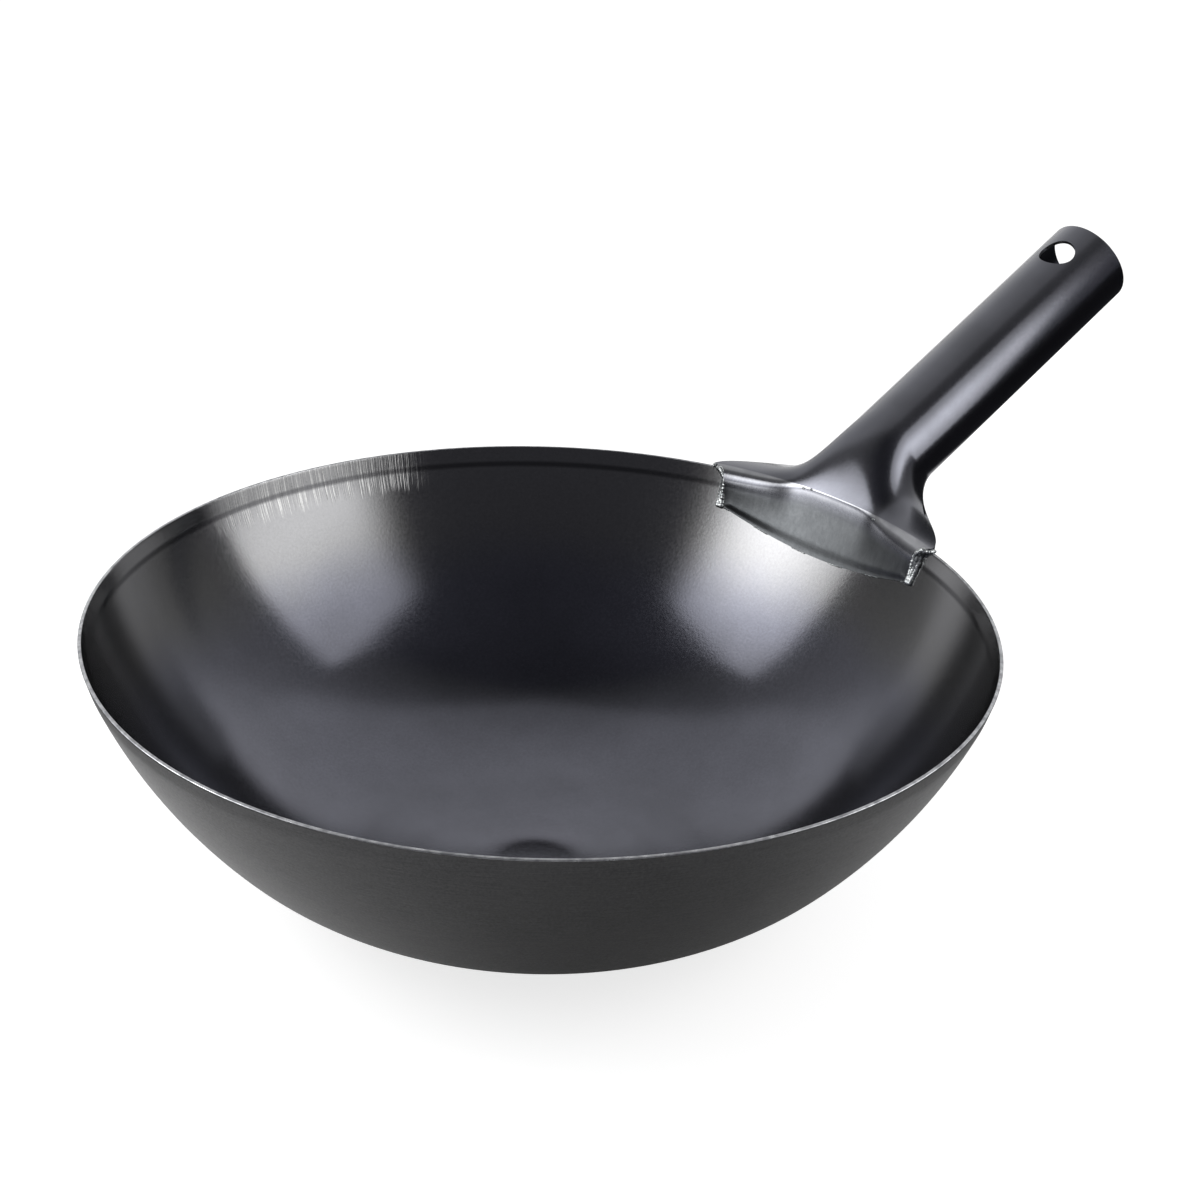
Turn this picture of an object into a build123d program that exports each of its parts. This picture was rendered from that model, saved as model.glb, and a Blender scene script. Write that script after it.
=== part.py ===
from build123d import *
import os
from math import cos, pi, radians, sin, sqrt

# A one-handled carbon steel wok: a pressed bowl and a handle rolled from one sheet.
# The origin is the middle of the flat base, on the bowl's axis. +Z is up and the
# handle points along +X. All lengths are in millimetres.

MM = 1.0

# Bowl, measured on its outside
RIM_RADIUS = 150 * MM
BASE_RADIUS = 40 * MM
LOWER_ARC_RADIUS = 102.3 * MM
BOWL_SHEET = 1.2 * MM
BLEND_SLOPE = radians(45.9)         # slope of the wall where its two arcs meet
SLOPE_BELOW_BAND = radians(66.6717)  # slope of the wall where the rim band starts
RIM_BAND = 6 * MM                   # straight band at the top of the wall
RIM_BAND_SLOPE = radians(72)
RIM_EDGE_ROUND = 0.3 * MM

# Handle tube
HANDLE_SHEET = 1.2 * MM
TUBE_RADIUS = 16.3 * MM             # outside
HANDLE_LENGTH = 150.5 * MM          # along the tube, from the rim to the free end
HANDLE_SLOPE = radians(21.6)
AXIS_ABOVE_RIM = 0.6 * MM           # where the tube's axis crosses the rim circle
SEAM_GAP = 1 * MM                   # open seam along the underside
HOLE_RADIUS = 6.7 * MM
HOLE_FROM_END = 16 * MM

# Where the tube opens out, along its axis from the rim, on its top, sides and underside
FLARE_TOP = 34 * MM
FLARE_SIDE = 27 * MM
FLARE_UNDER = 45 * MM
# How far each line of the flare runs on straight, first off the tube, then off the fold
TUBE_RUN_TOP = 9 * MM
TUBE_RUN_SIDE = 4 * MM
TUBE_RUN_UNDER = 16 * MM
FOLD_RUN_TOP = 20 * MM
FOLD_RUN_SIDE = 8 * MM
FOLD_RUN_UNDER = 12 * MM
WING_TURN = radians(30)             # how far the wing's edge turns towards the tube
WING_LIFT = radians(2)              # how steeply a wing tip rises behind its fold
NECK_LIFT = radians(63)             # how steeply the middle rises there
NECK_SHARE = 0.45                   # where, on the way to the tip, it is between the two

# The fold over the rim, at the middle of the handle and at the wing tips
FOLD_RADIUS = 2.8 * MM
FOLD_ABOVE_RIM = 2.2 * MM
FOLD_INSIDE_RIM = 2 * MM
TIP_RADIUS = 5 * MM
TIP_ABOVE_RIM = 2.1 * MM
TIP_INSIDE_RIM = 0.6 * MM
WING_HALF_SPAN = 51.3 * MM          # along the rim

# The leaf that lies on the inside wall
LEAF_DRAW_IN = 5.3 * MM             # how much shorter the leaf is than the wing, at each end
LEAF_DEPTH = 19.1 * MM              # below the rim, at the middle
LEAF_END_DEPTH = 12.1 * MM          # below the rim, at the ends
LEAF_CLEARANCE = 0.15 * MM
LEAF_FALL = radians(76)             # how steep the fold is where the leaf begins

# Welds
END_BEAD_RADIUS = 1.2 * MM
END_BEAD_LENGTH = 7.5 * MM          # down each end of the leaf
SEAM_BEAD_RADIUS = 0.9 * MM
SEAM_BEAD_LENGTH = 6 * MM           # along the leaf's lower edge
SEAM_BEAD_SHARES = (-0.6, -0.2, 0.2, 0.6)
TACK_RADIUS = 1.1 * MM
TACK_LENGTH = 2.4 * MM              # across the rim, at the edge of each wing

# How many rows of points shape the sheet from the leaf to the tube, and points in a row
LEAF_ROWS = 4
FOLD_ROWS = 5
FLARE_ROWS = 16
ACROSS = 25
PLAIN_TUBE_FROM = 50 * MM           # along the axis, clear of the flare
CUT_OVERRUN = 5 * MM

# The wall's upper arc runs from the lower one out to the straight rim band
BLEND_RADIUS = BASE_RADIUS + LOWER_ARC_RADIUS * sin(BLEND_SLOPE)
BAND_START = RIM_RADIUS - RIM_BAND * cos(RIM_BAND_SLOPE)
UPPER_ARC_RADIUS = (BAND_START - BLEND_RADIUS) / (sin(SLOPE_BELOW_BAND) - sin(BLEND_SLOPE))
ARC_STEP = UPPER_ARC_RADIUS - LOWER_ARC_RADIUS
ARC_CENTRE_R = BASE_RADIUS - ARC_STEP * sin(BLEND_SLOPE)
ARC_CENTRE_Z = LOWER_ARC_RADIUS + ARC_STEP * cos(BLEND_SLOPE)
RIM_HEIGHT = (ARC_CENTRE_Z - UPPER_ARC_RADIUS * cos(SLOPE_BELOW_BAND)
              + RIM_BAND * sin(RIM_BAND_SLOPE))

# Half the leaf's span along the rim
LEAF_HALF_SPAN = WING_HALF_SPAN - LEAF_DRAW_IN

# The tube's axis
AXIS = Vector(cos(HANDLE_SLOPE), 0, sin(HANDLE_SLOPE))
TUBE_UP = Vector(-sin(HANDLE_SLOPE), 0, cos(HANDLE_SLOPE))
TUBE_SIDE = Vector(0, 1, 0)
AXIS_START = Vector(RIM_RADIUS, 0, RIM_HEIGHT + AXIS_ABOVE_RIM)


def wall_profile(inset):
    """Flat base, two arcs and the rim band, moved inwards by inset."""
    base = Line((0, inset), (BASE_RADIUS, inset))
    lower = JernArc(base @ 1, (1, 0), LOWER_ARC_RADIUS - inset, BLEND_SLOPE / radians(1))
    turn = (SLOPE_BELOW_BAND - BLEND_SLOPE) / radians(1)
    upper = JernArc(lower @ 1, lower % 1, UPPER_ARC_RADIUS - inset, turn)
    rim_edge = Vector(RIM_RADIUS - inset * sin(RIM_BAND_SLOPE),
                      RIM_HEIGHT + inset * cos(RIM_BAND_SLOPE))
    return base, lower, upper, Line(upper @ 1, rim_edge)


def make_bowl():
    outside = wall_profile(0)
    inside = wall_profile(BOWL_SHEET)
    lines = [*outside, Line(outside[3] @ 1, inside[3] @ 1), *inside,
             Line(outside[0] @ 0, inside[0] @ 0)]
    section = make_face(Plane.XZ * Curve(lines))
    bowl = revolve(section, Axis.Z)
    rim_edges = bowl.edges().sort_by(Axis.Z)[-2:]
    return fillet(rim_edges, RIM_EDGE_ROUND)


def inside_wall(depth, lift=0):
    """Radius at a depth below the rim, lift away from the inside wall and square to it."""
    z = RIM_HEIGHT - depth
    inset = BOWL_SHEET + lift
    on_arc = ARC_CENTRE_R + sqrt((UPPER_ARC_RADIUS - inset)**2 - (ARC_CENTRE_Z - z)**2)
    on_band = RIM_RADIUS - (inset + depth * cos(RIM_BAND_SLOPE)) / sin(RIM_BAND_SLOPE)
    return min(on_arc, on_band)


def around(top, side, under, angle):
    """A size given on the tube's top, sides and underside, eased between them."""
    middle = (top + 2 * side + under) / 4
    return (middle + (top - under) / 2 * cos(angle)
            + (top - 2 * side + under) / 4 * cos(2 * angle))


def outwards(angle):
    return Vector(cos(angle), sin(angle), 0)


def along(angle):
    return Vector(-sin(angle), cos(angle), 0)


def tube_angle(share):
    """Angle from the tube's top for a share of half the sheet's width."""
    return share * (pi - SEAM_GAP / 2 / TUBE_RADIUS)


def tube_point(share, distance, inset=0):
    angle = tube_angle(share)
    ring = cos(angle) * TUBE_UP + sin(angle) * TUBE_SIDE
    return AXIS_START + distance * AXIS + (TUBE_RADIUS - inset) * ring


def flare_start(share):
    return around(FLARE_TOP, FLARE_SIDE, FLARE_UNDER, tube_angle(share))


def towards_tip(middle, tip, share):
    """A size given at the middle of the fold and at the wing tips, eased between them."""
    return middle + (tip - middle) * (1 - (1 - share**2)**2)


def fold_start(share):
    """Distance of the fold's start from the bowl's axis, and its height."""
    return (RIM_RADIUS - towards_tip(FOLD_INSIDE_RIM, TIP_INSIDE_RIM, share),
            RIM_HEIGHT + towards_tip(FOLD_ABOVE_RIM, TIP_ABOVE_RIM, share))


def fold_lift(share):
    """How steeply the sheet rises behind the fold."""
    return WING_LIFT + (NECK_LIFT - WING_LIFT) / (1 + (share / NECK_SHARE)**6)


def fold_bend(share, bend):
    """How far in and down the fold has come where the sheet is as steep as bend."""
    radius, lift = towards_tip(FOLD_RADIUS, TIP_RADIUS, share), fold_lift(share)
    return radius * (sin(bend) - sin(lift)), radius * (cos(lift) - cos(bend))


def flare_point(share, step):
    """A cubic line from the fold, at step 0, to the tube, at step 1."""
    angle = tube_angle(share)
    rim_angle = share * WING_HALF_SPAN / RIM_RADIUS
    turn, lift = -share * abs(share)**0.5 * WING_TURN, fold_lift(share)
    level = cos(turn) * outwards(rim_angle) + sin(turn) * along(rim_angle)
    heading = cos(lift) * level + Vector(0, 0, sin(lift))
    radius, height = fold_start(share)
    ends = [radius * outwards(rim_angle) + Vector(0, 0, height),
            tube_point(share, flare_start(share))]
    near_fold = ends[0] + around(FOLD_RUN_TOP, FOLD_RUN_SIDE, FOLD_RUN_UNDER, angle) * heading
    near_tube = ends[1] - around(TUBE_RUN_TOP, TUBE_RUN_SIDE, TUBE_RUN_UNDER, angle) * AXIS
    back = 1 - step
    return (back**3 * ends[0] + 3 * step * back**2 * near_fold
            + 3 * step**2 * back * near_tube + step**3 * ends[1])


def leaf_angle(share, step):
    """Angle round the rim, drawing in from the wing's span to the leaf's."""
    span = WING_HALF_SPAN + (LEAF_HALF_SPAN - WING_HALF_SPAN) * step
    return share * span / RIM_RADIUS


def fold_point(share, step):
    """Round the fold, from its start at step 0 to the leaf at step 1."""
    lift = fold_lift(share)
    inwards, down = fold_bend(share, lift + step * (LEAF_FALL - lift))
    radius, height = fold_start(share)
    return (radius - inwards) * outwards(leaf_angle(share, step)) + Vector(0, 0, height - down)


def leaf_point(share, step):
    """Down the leaf, from the fold at step 0 to its lower edge at step 1."""
    radius, height = fold_start(share)
    inwards, down = fold_bend(share, LEAF_FALL)
    top = RIM_HEIGHT - height + down
    lowest = LEAF_END_DEPTH + (LEAF_DEPTH - LEAF_END_DEPTH) * (1 - share**2)
    depth = top + (lowest - top) * step
    seat = HANDLE_SHEET + LEAF_CLEARANCE
    gap = inside_wall(top, seat) - radius + inwards
    radius = inside_wall(depth, seat) - gap * (1 - step**2 * (3 - 2 * step))
    return radius * outwards(leaf_angle(share, 1)) + Vector(0, 0, RIM_HEIGHT - depth)


def steps(count):
    return [n / count for n in range(1, count + 1)]


def sheet_rows():
    """Rows of points on the sheet's outside, from the leaf's lower edge to the plain tube."""
    shares = [2 * n / (ACROSS - 1) - 1 for n in range(ACROSS)]
    rows = [[leaf_point(share, 1) for share in shares]]
    rows += [[leaf_point(share, 1 - step) for share in shares] for step in steps(LEAF_ROWS)]
    rows += [[fold_point(share, 1 - step) for share in shares] for step in steps(FOLD_ROWS)]
    rows += [[flare_point(share, step) for share in shares] for step in steps(FLARE_ROWS)]
    rows.append([tube_point(share, PLAIN_TUBE_FROM) for share in shares])
    return rows


def underside(rows):
    """The same points moved through the sheet, square to it."""
    last_row, last_place = len(rows) - 1, len(rows[0]) - 1
    moved = []
    for i, row in enumerate(rows):
        line = []
        for j, point in enumerate(row):
            lengthways = rows[min(i + 1, last_row)][j] - rows[max(i - 1, 0)][j]
            across = row[min(j + 1, last_place)] - row[max(j - 1, 0)]
            line.append(point - HANDLE_SHEET * lengthways.cross(across).normalized())
        moved.append(line)
    plain = [tube_point(2 * j / last_place - 1, PLAIN_TUBE_FROM, HANDLE_SHEET)
             for j in range(last_place + 1)]
    return [*moved[:-1], plain]


def flared_sheet():
    """The sheet from the leaf to the plain tube, in straight strips from row to row."""
    rows = sheet_rows()
    rings = []
    for outer, inner in zip(rows, underside(rows)):
        rings.append([Edge.make_spline(outer), Edge.make_line(outer[-1], inner[-1]),
                      Edge.make_spline(inner), Edge.make_line(outer[0], inner[0])])
    leaf_edge = Face.make_surface_from_curves(rings[0][0], rings[0][2])
    tube_end = Face(Wire(rings[-1]))
    strips = [Face.make_surface_from_curves(line, next_line)
              for ring, next_ring in zip(rings, rings[1:])
              for line, next_line in zip(ring, next_ring)]
    return Solid(Shell([leaf_edge, *strips, tube_end])), tube_end


def make_handle():
    flared, tube_end = flared_sheet()
    tube = extrude(tube_end, HANDLE_LENGTH - PLAIN_TUBE_FROM, dir=AXIS)
    return flared + (tube - hanging_hole())


def hanging_hole():
    centre = AXIS_START + (HANDLE_LENGTH - HOLE_FROM_END) * AXIS
    drill = Cylinder(HOLE_RADIUS, TUBE_RADIUS + CUT_OVERRUN,
                     align=(Align.CENTER, Align.CENTER, Align.MIN))
    return Plane(origin=centre, x_dir=AXIS, z_dir=TUBE_UP) * drill


def bead(start, end, radius):
    """A weld bead: a rod with round ends, before the sheets are cut out of it."""
    way = end - start
    rod = Cylinder(radius, way.length, align=(Align.CENTER, Align.CENTER, Align.MIN))
    rod += Sphere(radius) + Pos(0, 0, way.length) * Sphere(radius)
    return Plane(origin=start, z_dir=way) * rod


def on_wall(depth, around_rim, lift):
    """A point at a depth below the rim, lift away from the inside wall."""
    angle = around_rim / RIM_RADIUS
    return inside_wall(depth, lift) * outwards(angle) + Vector(0, 0, RIM_HEIGHT - depth)


def leaf_end_bead(side):
    lowest = LEAF_END_DEPTH
    place = side * (LEAF_HALF_SPAN + END_BEAD_RADIUS / 2)
    return bead(on_wall(lowest - END_BEAD_LENGTH, place, END_BEAD_RADIUS),
                on_wall(lowest, place, END_BEAD_RADIUS / 2), END_BEAD_RADIUS)


def leaf_seam_bead(share):
    half = SEAM_BEAD_LENGTH / 2
    ends = []
    for place in (share * LEAF_HALF_SPAN - half, share * LEAF_HALF_SPAN + half):
        here = place / LEAF_HALF_SPAN
        depth = LEAF_END_DEPTH + (LEAF_DEPTH - LEAF_END_DEPTH) * (1 - here**2)
        ends.append(on_wall(depth, place, SEAM_BEAD_RADIUS / 2))
    return bead(*ends, SEAM_BEAD_RADIUS)


def wing_tack(side):
    across = outwards(side * WING_HALF_SPAN / RIM_RADIUS)
    middle = RIM_RADIUS - BOWL_SHEET / 2
    level = Vector(0, 0, RIM_HEIGHT + TIP_ABOVE_RIM - HANDLE_SHEET)
    return bead(*[(middle + way * TACK_LENGTH / 2) * across + level for way in (-1, 1)],
                TACK_RADIUS)


def welded(rod, sheets):
    """What is left of a bead outside the sheets that it joins, in one piece."""
    return (rod - sheets).solids().sort_by(SortBy.VOLUME)[-1]


os.makedirs("parts", exist_ok=True)
bowl = make_bowl()
handle = make_handle()
sheets = [bowl, handle]
nodes = {
    "bowl": bowl,
    "handle": handle,
    "leaf_end_weld_left": welded(leaf_end_bead(1), sheets),
    "leaf_end_weld_right": welded(leaf_end_bead(-1), sheets),
    "leaf_seam_welds": Compound(
        children=[welded(leaf_seam_bead(share), sheets) for share in SEAM_BEAD_SHARES]),
    "wing_tack_left": welded(wing_tack(1), sheets),
    "wing_tack_right": welded(wing_tack(-1), sheets),
}
for name, shape in nodes.items():
    export_step(shape, f"parts/{name}.step")
    print(name, round(shape.volume, 1), len(shape.solids()))
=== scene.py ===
from math import cos, pi, radians, sin

import bpy
import numpy as np
from mathutils import Matrix


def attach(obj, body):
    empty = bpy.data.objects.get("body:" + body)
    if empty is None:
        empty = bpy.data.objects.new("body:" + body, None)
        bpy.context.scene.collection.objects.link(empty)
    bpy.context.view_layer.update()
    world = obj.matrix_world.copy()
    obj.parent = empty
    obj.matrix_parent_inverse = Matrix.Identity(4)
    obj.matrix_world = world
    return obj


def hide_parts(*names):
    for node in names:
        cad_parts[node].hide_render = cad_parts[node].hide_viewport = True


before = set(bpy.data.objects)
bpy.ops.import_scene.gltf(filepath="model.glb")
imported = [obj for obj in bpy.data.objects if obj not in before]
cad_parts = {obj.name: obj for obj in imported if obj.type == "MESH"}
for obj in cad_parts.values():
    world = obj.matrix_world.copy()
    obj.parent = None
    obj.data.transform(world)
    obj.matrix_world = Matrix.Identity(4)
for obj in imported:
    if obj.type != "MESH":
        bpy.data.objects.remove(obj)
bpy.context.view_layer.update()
mm = 0.001
print("frame loaded")


def hexColour(text):    # an sRGB hex value turned to linear
    parts = [int(text[i:i + 2], 16) / 255 for i in (1, 3, 5)]
    return (*[c / 12.92 if c <= 0.04045 else ((c + 0.055) / 1.055)**2.4 for c in parts], 1)


def addNode(tree, kind, inputs=None, **settings):    # a node's first live output is its result
    node = tree.nodes.new(kind)
    for key, value in settings.items():
        setattr(node, key, value)
    for key, value in (inputs or {}).items():
        if isinstance(value, bpy.types.Node):
            value = next(socket for socket in value.outputs if socket.enabled)
        if isinstance(value, bpy.types.NodeSocket):
            tree.links.new(value, node.inputs[key])
        else:
            node.inputs[key].default_value = value
    return node


def newMaterial(name):
    material = bpy.data.materials.new(name)
    material.use_nodes = True
    material.node_tree.nodes.clear()
    return material, material.node_tree


# Bowl, all lengths in millimetres
bowl = {
    "rimRadius": 150, "baseRadius": 40, "sheet": 1.2, "lowerArc": 102.3,
    "blendSlope": radians(45.9), "slopeBelowBand": radians(66.6717), "bandSlope": radians(72),
    "band": 6, "edgeRound": 0.3, "creaseHalf": 0.5,
    "turns": 400, "baseRows": 8, "lowerRows": 39, "upperRows": 25, "bandRows": 7, "roundRows": 4,
}
blendRadius = bowl["baseRadius"] + bowl["lowerArc"] * sin(bowl["blendSlope"])
bandStart = bowl["rimRadius"] - bowl["band"] * cos(bowl["bandSlope"])
# The upper arc meets the lower one at a shared slope, and its centre is (arcR, arcZ)
upperArc = (bandStart - blendRadius) / (sin(bowl["slopeBelowBand"]) - sin(bowl["blendSlope"]))
arcR = bowl["baseRadius"] - (upperArc - bowl["lowerArc"]) * sin(bowl["blendSlope"])
arcZ = bowl["lowerArc"] + (upperArc - bowl["lowerArc"]) * cos(bowl["blendSlope"])
rimHeight = (arcZ - upperArc * cos(bowl["slopeBelowBand"])
             + bowl["band"] * sin(bowl["bandSlope"]))


# Patterns that both sheets of steel carry, in millimetres. The real grain is finer, and is
# drawn as coarse as it needs to show.
sheetSteel = {"cloudSize": 38, "grainSize": 0.9}


def aboutAxis(tree):    # place in metres, height, distance from the axis, angle from the handle
    place = addNode(tree, "ShaderNodeTexCoord").outputs["Object"]
    x, y, z = addNode(tree, "ShaderNodeSeparateXYZ", {0: place}).outputs
    level = addNode(tree, "ShaderNodeCombineXYZ", {0: x, 1: y})
    radius = addNode(tree, "ShaderNodeVectorMath", {0: level}, operation="LENGTH").outputs["Value"]
    angle = addNode(tree, "ShaderNodeMath", {0: y, 1: x}, operation="ARCTAN2")
    return place, z, radius, angle


def finishMetal(tree, tint, roughness, height, heightScale):
    bump = addNode(tree, "ShaderNodeBump", {
        "Height": height, "Distance": heightScale, "Strength": 1.0})
    shader = addNode(tree, "ShaderNodeBsdfPrincipled", {
        "Base Color": tint, "Roughness": roughness, "Metallic": 1.0, "Normal": bump})
    addNode(tree, "ShaderNodeOutputMaterial", {"Surface": shader})


def cloudyTint(tree, place, first, second):    # soft patches of two near colours
    cloud = addNode(tree, "ShaderNodeTexNoise", {
        "Vector": place, "Scale": 1 / (sheetSteel["cloudSize"] * mm), "Detail": 4.0,
        "Roughness": 0.6})
    share = addNode(tree, "ShaderNodeMapRange", {
        "Value": cloud.outputs[0], "From Min": 0.35, "From Max": 0.65})
    return addNode(tree, "ShaderNodeMix", {
        0: share, 6: hexColour(first), 7: hexColour(second)}, data_type="RGBA")


# Pressed and blued sheet: a soft blue-black mirror, greyer towards the rim
pressed = {
    "low": "#6a6b74", "cloud": "#62636b", "high": "#6e6e6f", "highFrom": 44, "highTo": 66,
    "wander": 14, "wanderSize": 33.333, "rough": 0.14, "grainHeight": 0.012,
    "stroke": "#a2a2a1", "strokeRough": 0.19, "strokeCut": 0.03, "strokeWidth": 0.6,
    "strokeLength": 30, "strokeDepth": 12, "strokeRagged": 5, "strokeTaper": 3,
    "strokesFrom": radians(60), "strokesTo": radians(99), "fadeIn": radians(5),
    "fadeOut": radians(15),
    # The crease colour and its sizes draw a painted shade line below the rim.
    "paintedCreaseShade": "#3c3c3e", "creaseDepth": 5.7, "creaseFrom": 0.4, "creaseTo": 1.3,
    "creaseShare": 0.8, "dishFrom": 12, "dishTo": 58, "dishRise": 4,
}


def strokeZone(tree, lines, depth, angle):    # 1 where the grinding strokes are, 0 elsewhere
    ragged = addNode(tree, "ShaderNodeMath", {
        0: lines.outputs[0], 1: -2 * pressed["strokeRagged"] * mm, 2: depth},
        operation="MULTIPLY_ADD")
    lowest = pressed["strokeDepth"] - pressed["strokeRagged"]
    reach = addNode(tree, "ShaderNodeMapRange", {
        "Value": ragged, "From Min": (lowest - pressed["strokeTaper"]) * mm,
        "From Max": lowest * mm, "To Min": 1.0, "To Max": 0.0})
    begins = addNode(tree, "ShaderNodeMapRange", {
        "Value": angle, "From Min": pressed["strokesFrom"],
        "From Max": pressed["strokesFrom"] + pressed["fadeIn"]})
    ends = addNode(tree, "ShaderNodeMapRange", {
        "Value": angle, "From Min": pressed["strokesTo"] - pressed["fadeOut"],
        "From Max": pressed["strokesTo"], "To Min": 1.0, "To Max": 0.0})
    zone = addNode(tree, "ShaderNodeMath", {0: begins, 1: ends}, operation="MULTIPLY")
    return addNode(tree, "ShaderNodeMath", {0: zone, 1: reach}, operation="MULTIPLY")


def pressedInside():
    material, tree = newMaterial("blued carbon steel, pressed")
    place, z, radius, angle = aboutAxis(tree)
    low = cloudyTint(tree, place, pressed["low"], pressed["cloud"])
    wander = addNode(tree, "ShaderNodeTexNoise", {
        "Vector": place, "Scale": 1 / (pressed["wanderSize"] * mm), "Detail": 3.0})
    level = addNode(tree, "ShaderNodeMath", {
        0: wander.outputs[0], 1: pressed["wander"] * mm, 2: z}, operation="MULTIPLY_ADD")
    high = addNode(tree, "ShaderNodeMapRange", {
        "Value": level, "From Min": (pressed["highFrom"] + pressed["wander"] / 2) * mm,
        "From Max": (pressed["highTo"] + pressed["wander"] / 2) * mm},
        interpolation_type="SMOOTHSTEP")
    tint = addNode(tree, "ShaderNodeMix", {0: high, 6: low, 7: hexColour(pressed["high"])},
                   data_type="RGBA")

    # Grinding strokes run down from the rim on one side
    across = addNode(tree, "ShaderNodeMath", {
        0: angle, 1: bowl["rimRadius"] / pressed["strokeWidth"]}, operation="MULTIPLY")
    down = addNode(tree, "ShaderNodeMath", {0: z, 1: 1 / (pressed["strokeLength"] * mm)},
                   operation="MULTIPLY")
    lines = addNode(tree, "ShaderNodeTexNoise", {
        "Vector": addNode(tree, "ShaderNodeCombineXYZ", {0: across, 1: down}),
        "Scale": 1.0, "Detail": 2.0, "Roughness": 0.7})
    depth = addNode(tree, "ShaderNodeMath", {0: rimHeight * mm, 1: z}, operation="SUBTRACT")
    zone = strokeZone(tree, lines, depth, angle)
    bright = addNode(tree, "ShaderNodeMapRange", {
        "Value": lines.outputs[0], "From Min": 0.47, "From Max": 0.68})
    stroke = addNode(tree, "ShaderNodeMath", {0: zone, 1: bright}, operation="MULTIPLY")
    tint = addNode(tree, "ShaderNodeMix", {0: stroke, 6: tint, 7: hexColour(pressed["stroke"])},
                   data_type="RGBA")

    # A dark line of painted shade runs round below the rim, where the sheet turns into its band
    fromCrease = addNode(tree, "ShaderNodeMath", {0: depth, 1: pressed["creaseDepth"] * mm},
                         operation="SUBTRACT")
    fromCrease = addNode(tree, "ShaderNodeMath", {0: fromCrease}, operation="ABSOLUTE")
    paintedCreaseShade = addNode(tree, "ShaderNodeMapRange", {
        "Value": fromCrease, "From Min": pressed["creaseFrom"] * mm,
        "From Max": pressed["creaseTo"] * mm, "To Min": pressed["creaseShare"], "To Max": 0.0})
    tint = addNode(tree, "ShaderNodeMix", {0: paintedCreaseShade, 6: tint, 7: hexColour(pressed["paintedCreaseShade"])},
                   data_type="RGBA")

    # Pressing leaves a fine grain, lighter and duller on its tops
    grain = addNode(tree, "ShaderNodeTexNoise", {
        "Vector": place, "Scale": 1 / (sheetSteel["grainSize"] * mm), "Detail": 3.0,
        "Roughness": 0.6})
    speckle = addNode(tree, "ShaderNodeMapRange", {
        "Value": grain.outputs[0], "From Min": 0.3, "From Max": 0.7, "To Min": 0.91,
        "To Max": 1.06})
    tint = addNode(tree, "ShaderNodeVectorMath", {0: tint, 3: speckle}, operation="SCALE")
    rough = addNode(tree, "ShaderNodeMapRange", {
        "Value": grain.outputs[0], "From Min": 0.3, "From Max": 0.7,
        "To Min": pressed["rough"] - 0.02, "To Max": pressed["rough"] + 0.03})
    rough = addNode(tree, "ShaderNodeMath", {
        0: zone, 1: pressed["strokeRough"] - pressed["rough"], 2: rough},
        operation="MULTIPLY_ADD")

    # The base is pressed very slightly hollow round its middle
    dish = addNode(tree, "ShaderNodeMapRange", {
        "Value": radius, "From Min": pressed["dishFrom"] * mm, "From Max": pressed["dishTo"] * mm,
        "To Max": pressed["dishRise"] * mm}, interpolation_type="SMOOTHSTEP")
    height = addNode(tree, "ShaderNodeMath", {
        0: grain.outputs[0], 1: pressed["grainHeight"] * mm, 2: dish}, operation="MULTIPLY_ADD")
    cut = addNode(tree, "ShaderNodeMath", {0: stroke, 1: pressed["strokeCut"] * mm, 2: height},
                  operation="MULTIPLY_ADD")
    finishMetal(tree, tint, rough, cut, 1.0)
    return material


# Mill scale left on the outside: dull, dark and finely scratched round the bowl. The real
# scratches are finer, and are drawn coarser to show.
scaled = {
    "middle": "#3f3f40", "cloud": "#353536", "light": "#4b4b4c", "rough": 0.42,
    "roughHalf": 0.05, "scratchWidth": 0.35, "scratchRun": 14, "scratchHeight": 0.01,
}


def scaledOutside():
    material, tree = newMaterial("mill scaled carbon steel")
    place, z, radius, angle = aboutAxis(tree)
    tint = cloudyTint(tree, place, scaled["middle"], scaled["cloud"])
    run = addNode(tree, "ShaderNodeMath", {
        0: angle, 1: bowl["rimRadius"] / scaled["scratchRun"]}, operation="MULTIPLY")
    slant = addNode(tree, "ShaderNodeMath", {0: z, 1: radius}, operation="ADD")
    climb = addNode(tree, "ShaderNodeMath", {0: slant, 1: 1 / (scaled["scratchWidth"] * mm)},
                    operation="MULTIPLY")
    scratches = addNode(tree, "ShaderNodeTexNoise", {
        "Vector": addNode(tree, "ShaderNodeCombineXYZ", {0: run, 1: climb}),
        "Scale": 1.0, "Detail": 3.0, "Roughness": 0.7})
    grain = addNode(tree, "ShaderNodeTexNoise", {
        "Vector": place, "Scale": 1 / (sheetSteel["grainSize"] * mm), "Detail": 4.0,
        "Roughness": 0.7})
    mottle = addNode(tree, "ShaderNodeMath", {0: scratches.outputs[0], 1: grain.outputs[0]},
                     operation="ADD")
    light = addNode(tree, "ShaderNodeMapRange", {"Value": mottle, "From Min": 0.7, "From Max": 1.3})
    tint = addNode(tree, "ShaderNodeMix", {0: light, 6: tint, 7: hexColour(scaled["light"])},
                   data_type="RGBA")
    rough = addNode(tree, "ShaderNodeMapRange", {
        "Value": mottle, "From Min": 0.7, "From Max": 1.3,
        "To Min": scaled["rough"] + scaled["roughHalf"],
        "To Max": scaled["rough"] - scaled["roughHalf"]})
    finishMetal(tree, tint, rough, mottle, scaled["scratchHeight"] * mm)
    return material


# Bare steel where the sheet was cut and ground: bright and a little uneven
cutEdge = {"bright": "#c4c5c8", "dark": "#8d8e92", "rough": 0.3, "roughHalf": 0.1,
           "nickSize": 2.857, "nickDepth": 0.03}


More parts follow.
